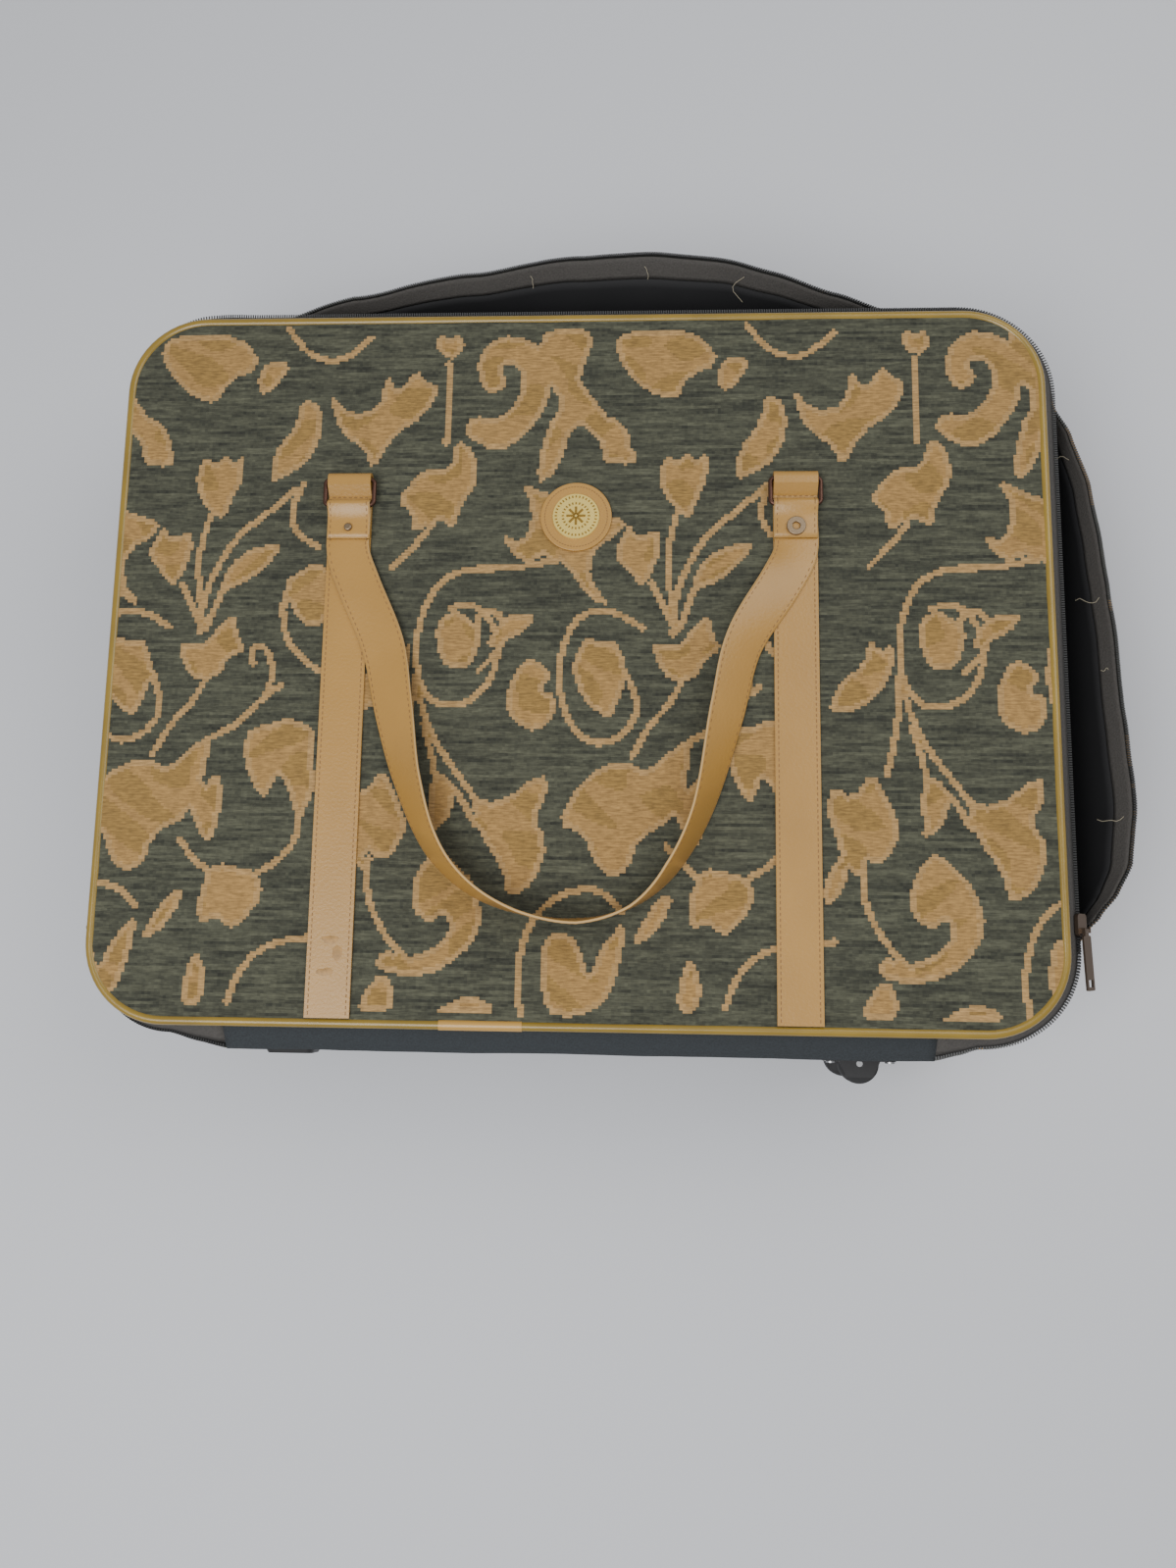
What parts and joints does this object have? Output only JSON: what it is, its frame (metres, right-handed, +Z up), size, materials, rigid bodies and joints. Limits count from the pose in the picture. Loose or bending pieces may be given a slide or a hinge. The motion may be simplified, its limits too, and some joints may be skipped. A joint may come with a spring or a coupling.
{
  "type": "soft suitcase",
  "caption": "Soft-sided suitcase lying on its back, zip open on three sides, board-backed lid on a cloth hinge, strap handles on rings, piping, wheels and feet along the bottom.",
  "frame": {"origin": "on the floor, under the middle of the whole outline of the case as it lies on its back", "axes": "+Z up from the floor and out of the front panel, +Y towards the top edge of the suitcase, +X to the right as seen from above"},
  "size_m": [0.6828, 0.5742, 0.2026],
  "materials": {
    "tapestry": "woven chenille tapestry, sage green ground",
    "motif_yarn": "lighter peach and mustard yarn of the woven figure",
    "twill": "plain grey-blue twill",
    "lining": "thin black lining cloth",
    "board": "stiff black sheet",
    "piping": "glossy mustard vinyl",
    "zip_tape": "warm grey woven tape",
    "zip_coil": "dark moulded coil",
    "strap": "tan imitation leather, stitched along both edges",
    "ring_metal": "browned steel wire",
    "slider_metal": "dark bronze finish",
    "snap_metal": "dulled snap metal",
    "medallion_metal": "bright gold metal",
    "black_plastic": "black moulded plastic",
    "wheel_rubber": "black rubber",
    "rivet_steel": "plain steel"
  },
  "bodies": {
    "case": {"back_panel": "tapestry", "back_board": "board", "back_lining": "lining", "side_wall": "tapestry", "bottom_gusset": "twill", "wall_lining": "lining", "bottom_board": "board", "rear_piping": "piping", "rear_zip_tape": "zip_tape", "rear_zip_coil": "zip_coil", "rear_strap_left": "strap", "rear_strap_right": "strap", "wheel_housing_upper": "black_plastic", "wheel_housing_lower": "black_plastic", "axle_upper": "rivet_steel", "axle_lower": "rivet_steel", "wheel_rivets": "rivet_steel", "foot_upper": "black_plastic", "foot_lower": "black_plastic", "foot_screws": "rivet_steel"},
    "lid": {"front_panel": "tapestry", "woven_motifs": "motif_yarn", "front_board": "board", "front_lining": "lining", "front_piping": "piping", "piping_sleeve": "piping", "hinge_flap": "twill", "front_zip_tape": "zip_tape", "front_zip_coil": "zip_coil", "front_strap_left": "strap", "front_strap_right": "strap", "medallion_patch": "strap", "medallion_disc": "medallion_metal"},
    "front_ring_left": {"front_ring_left": "ring_metal"},
    "front_ring_right": {"front_ring_right": "ring_metal"},
    "front_handle": {"front_handle": "strap", "snap_stud": "snap_metal", "snap_socket": "snap_metal"},
    "rear_ring_left": {"rear_ring_left": "ring_metal"},
    "rear_ring_right": {"rear_ring_right": "ring_metal"},
    "rear_handle": {"rear_handle": "strap"},
    "wheel_upper": {"wheel_upper": "wheel_rubber"},
    "wheel_lower": {"wheel_lower": "wheel_rubber"},
    "slider_right": {"slider_right": "slider_metal"},
    "slider_left": {"slider_left": "slider_metal"},
    "pull_right": {"pull_right": "slider_metal"},
    "pull_left": {"pull_left": "slider_metal"}
  },
  "joints": [
    {"name": "lid_hinge", "type": "hinge", "parent": "case", "child": "lid", "pos_m": [-0.02055, -0.27012, 0.155], "axis": [1, 0, 0], "range_deg": [0, 180]},
    {"name": "front_ring_left_swing", "type": "hinge", "parent": "lid", "child": "front_ring_left", "pos_m": [-0.17055, 0.10188, 0.1777], "axis": [-1, 0, 0], "range_deg": [0, 90]},
    {"name": "front_ring_right_swing", "type": "hinge", "parent": "lid", "child": "front_ring_right", "pos_m": [0.12245, 0.10188, 0.1777], "axis": [-1, 0, 0], "range_deg": [0, 90]},
    {"name": "front_handle_swing", "type": "hinge", "parent": "front_ring_left", "child": "front_handle", "pos_m": [-0.02055, 0.08438, 0.1777], "axis": [-1, 0, 0], "range_deg": [0, 85]},
    {"name": "rear_ring_left_swing", "type": "hinge", "parent": "case", "child": "rear_ring_left", "pos_m": [-0.17055, 0.10188, 0.0045], "axis": [1, 0, 0], "range_deg": [0, 90]},
    {"name": "rear_ring_right_swing", "type": "hinge", "parent": "case", "child": "rear_ring_right", "pos_m": [0.12245, 0.10188, 0.0045], "axis": [1, 0, 0], "range_deg": [0, 90]},
    {"name": "rear_handle_swing", "type": "hinge", "parent": "rear_ring_left", "child": "rear_handle", "pos_m": [-0.02055, 0.08438, 0.0045], "axis": [1, 0, 0], "range_deg": [0, 85]},
    {"name": "wheel_upper_spin", "type": "hinge", "parent": "case", "child": "wheel_upper", "pos_m": [0.16645, -0.27412, 0.112], "axis": [0, 0, 1], "continuous": true},
    {"name": "wheel_lower_spin", "type": "hinge", "parent": "case", "child": "wheel_lower", "pos_m": [0.16645, -0.27412, 0.046], "axis": [0, 0, 1], "continuous": true},
    {"name": "slider_right_travel", "type": "slide", "parent": "lid", "child": "slider_right", "axis": [0, 1, 0], "range_m": [0, 0.3]},
    {"name": "slider_left_travel", "type": "slide", "parent": "lid", "child": "slider_left", "axis": [0, 1, 0], "range_m": [0, 0.3]},
    {"name": "pull_right_swing", "type": "hinge", "parent": "slider_right", "child": "pull_right", "pos_m": [0.30021, -0.18811, 0.16035], "axis": [-0.7681, -0.0698, 0.6365], "range_deg": [0, 170]},
    {"name": "pull_left_swing", "type": "hinge", "parent": "slider_left", "child": "pull_left", "pos_m": [-0.33359, -0.19309, 0.15541], "axis": [-0.177, 0.7071, -0.6846], "range_deg": [0, 170]}
  ],
  "couplings": [
    {"joint": "front_ring_right_swing", "follows": "front_ring_left_swing", "ratio": 1},
    {"joint": "rear_ring_right_swing", "follows": "rear_ring_left_swing", "ratio": 1}
  ]
}
